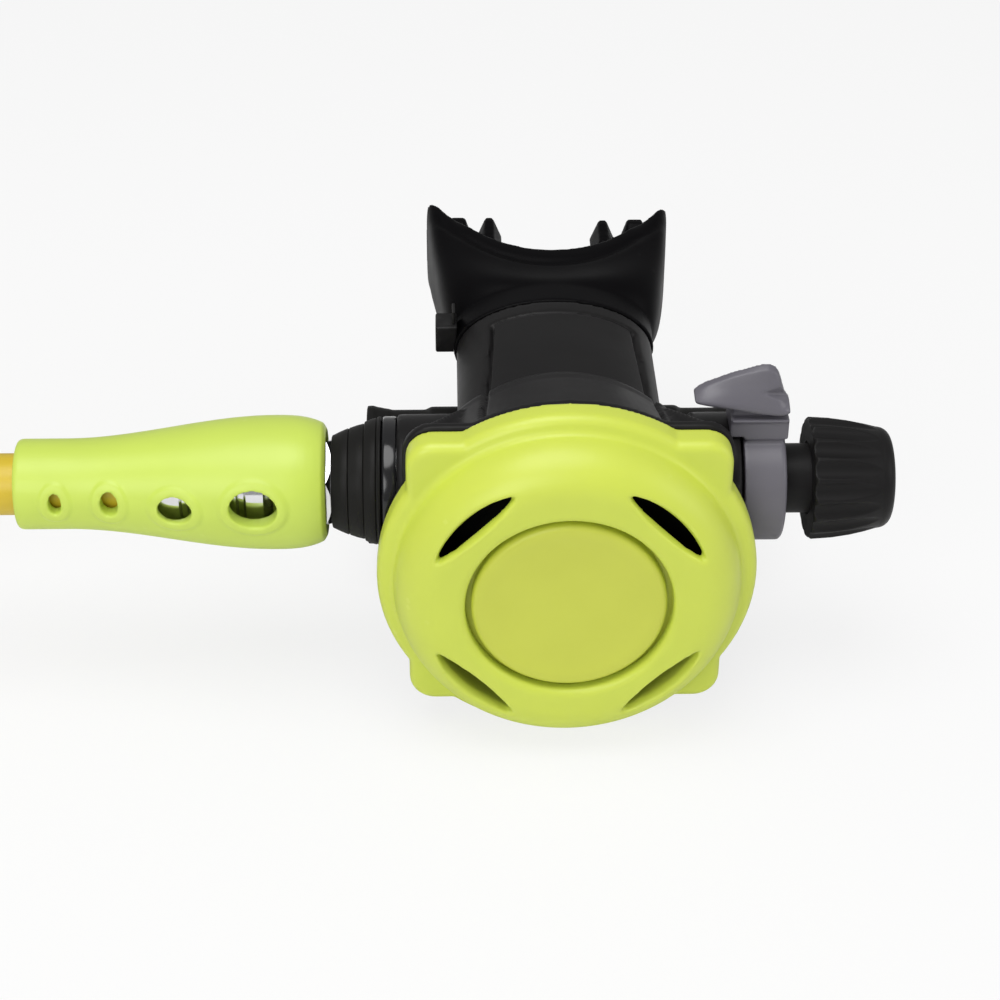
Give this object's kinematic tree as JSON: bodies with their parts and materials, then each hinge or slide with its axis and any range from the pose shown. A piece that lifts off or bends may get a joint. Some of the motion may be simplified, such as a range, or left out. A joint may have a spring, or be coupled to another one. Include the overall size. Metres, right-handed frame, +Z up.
{
  "type": "scuba regulator set",
  "caption": "Adjustable scuba second stage with purge cover, mouthpiece and exhaust tee, on a coiled low-pressure hose that ends in its first-stage fitting",
  "frame": {"origin": "on the flat foot of the exhaust tee, straight below the axis of the valve barrel", "axes": "X along the barrel towards the adjusting knob, Y towards the mouthpiece, Z up"},
  "size_m": [0.3555, 0.1644, 0.0728],
  "materials": {
    "black_plastic": "satin moulded",
    "black_gloss": "polished",
    "black_rubber": "matte",
    "clear_rubber": "translucent silicone",
    "lime_plastic": "semi-gloss moulded",
    "lime_rubber": "satin",
    "yellow_rubber": "satin",
    "grey_plastic": "semi-gloss moulded",
    "chrome": "polished",
    "brass": "turned",
    "spring_steel": "drawn wire"
  },
  "bodies": {
    "second_stage": {"case": "black_plastic", "top_panel": "black_plastic", "front_cover": "lime_plastic", "purge_spring": "spring_steel", "diaphragm": "black_rubber", "diaphragm_retainer": "black_plastic", "exhaust_valve": "clear_rubber", "exhaust_tee": "black_rubber", "mouthpiece": "black_rubber", "mouthpiece_tie": "black_plastic", "valve_barrel": "brass", "barrel_o_ring": "black_rubber", "inlet_fitting": "chrome", "inlet_ring": "black_gloss", "inlet_boot": "black_rubber", "orifice": "chrome", "orifice_o_ring": "black_rubber", "poppet_spring": "spring_steel", "packing_nut": "black_plastic", "knob_o_ring": "black_rubber", "hose_nut": "chrome", "hose_tail": "brass", "tail_o_ring": "black_rubber", "hose_ferrule": "chrome", "hose": "yellow_rubber", "hose_coil": "yellow_rubber", "far_ferrule": "chrome", "far_fitting": "chrome", "far_o_ring": "black_rubber"},
    "button": {"purge_button": "lime_plastic"},
    "disc": {"diaphragm_disc": "grey_plastic"},
    "lever": {"demand_lever": "spring_steel"},
    "poppet": {"poppet": "brass", "poppet_seat": "black_rubber", "lever_nut": "chrome"},
    "pad": {"spring_pad": "brass"},
    "knob": {"adjusting_screw": "chrome", "adjusting_knob": "black_gloss"},
    "venturi": {"venturi_lever": "grey_plastic", "venturi_vane": "grey_plastic"},
    "sleeve": {"hose_sleeve": "lime_rubber"}
  },
  "joints": [
    {"name": "purge_press", "type": "slide", "parent": "second_stage", "child": "button", "axis": [0, 1, 0], "range_m": [0, 0.0036], "stiffness_N_per_m": 400, "deforming": ["purge_spring"]},
    {"name": "diaphragm_travel", "type": "slide", "parent": "second_stage", "child": "disc", "axis": [0, 1, 0], "range_m": [0, 0.0036], "deforming": ["diaphragm"]},
    {"name": "lever_tilt", "type": "hinge", "parent": "second_stage", "child": "lever", "pos_m": [0.022, -0.0068, 0.0456], "axis": [0, 0, -1], "range_deg": [0, 8.9]},
    {"name": "poppet_lift", "type": "slide", "parent": "second_stage", "child": "poppet", "axis": [1, 0, 0], "range_m": [0, 0.0009], "deforming": ["poppet_spring"]},
    {"name": "knob_travel", "type": "slide", "parent": "second_stage", "child": "pad", "axis": [-1, 0, 0], "range_m": [0, 0.0036], "deforming": ["poppet_spring"]},
    {"name": "knob_turn", "type": "hinge", "parent": "pad", "child": "knob", "pos_m": [0.05, 0, 0.0456], "axis": [-1, 0, 0], "range_deg": [0, 1260]},
    {"name": "venturi_turn", "type": "hinge", "parent": "second_stage", "child": "venturi", "pos_m": [0.038, 0, 0.0456], "axis": [-1, 0, 0], "range_deg": [0, 65]},
    {"name": "sleeve_slide", "type": "slide", "parent": "second_stage", "child": "sleeve", "axis": [-1, 0, 0], "range_m": [0, 0.012]}
  ],
  "couplings": [
    {"joint": "diaphragm_travel", "follows": "purge_press", "ratio": 1},
    {"joint": "lever_tilt", "follows": "purge_press", "rad_per_m": 43},
    {"joint": "poppet_lift", "follows": "purge_press", "ratio": 0.24},
    {"joint": "knob_travel", "follows": "knob_turn", "m_per_rad": 0.00015915}
  ]
}
